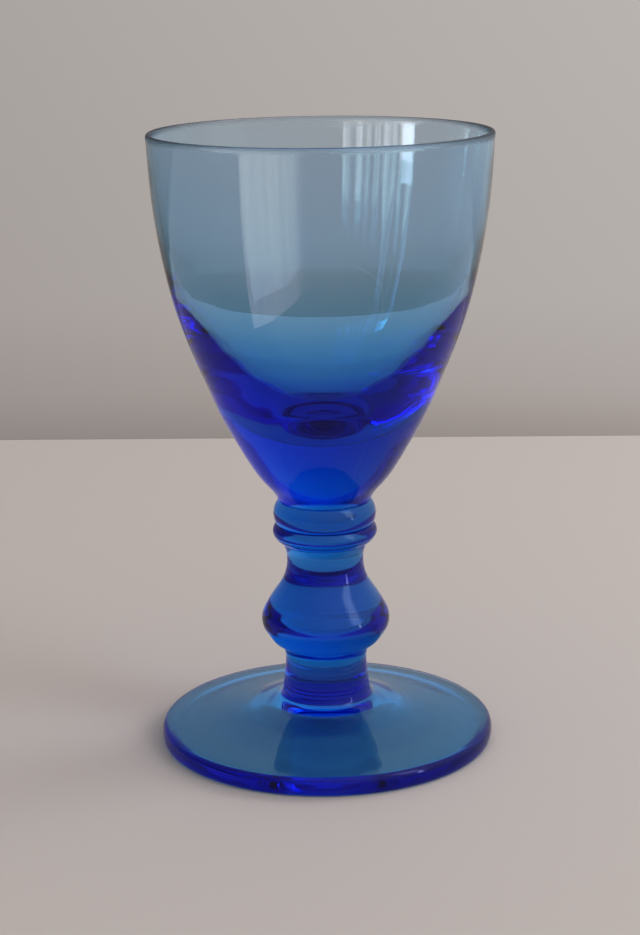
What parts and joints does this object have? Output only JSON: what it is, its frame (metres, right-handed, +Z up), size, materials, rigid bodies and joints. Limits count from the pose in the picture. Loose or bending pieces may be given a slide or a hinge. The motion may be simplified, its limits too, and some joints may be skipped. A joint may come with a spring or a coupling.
{
  "type": "stemmed cordial glass",
  "caption": "Small stemmed cordial glass in transparent cobalt-blue glass: open U-shaped bowl with a thick bottom, ringed collar, baluster stem and round foot.",
  "frame": {"origin": "centre of the foot's resting plane", "axes": "+Z up along the glass's axis of revolution, through the open lip; X and Y are free because the glass is round"},
  "size_m": [0.0548, 0.0548, 0.1],
  "materials": {
    "cobalt_glass": "polished, transparent cobalt blue"
  },
  "bodies": {
    "root": {"bowl": "cobalt_glass", "upper_merese": "cobalt_glass", "lower_merese": "cobalt_glass", "baluster_stem": "cobalt_glass", "foot": "cobalt_glass"}
  },
  "joints": []
}
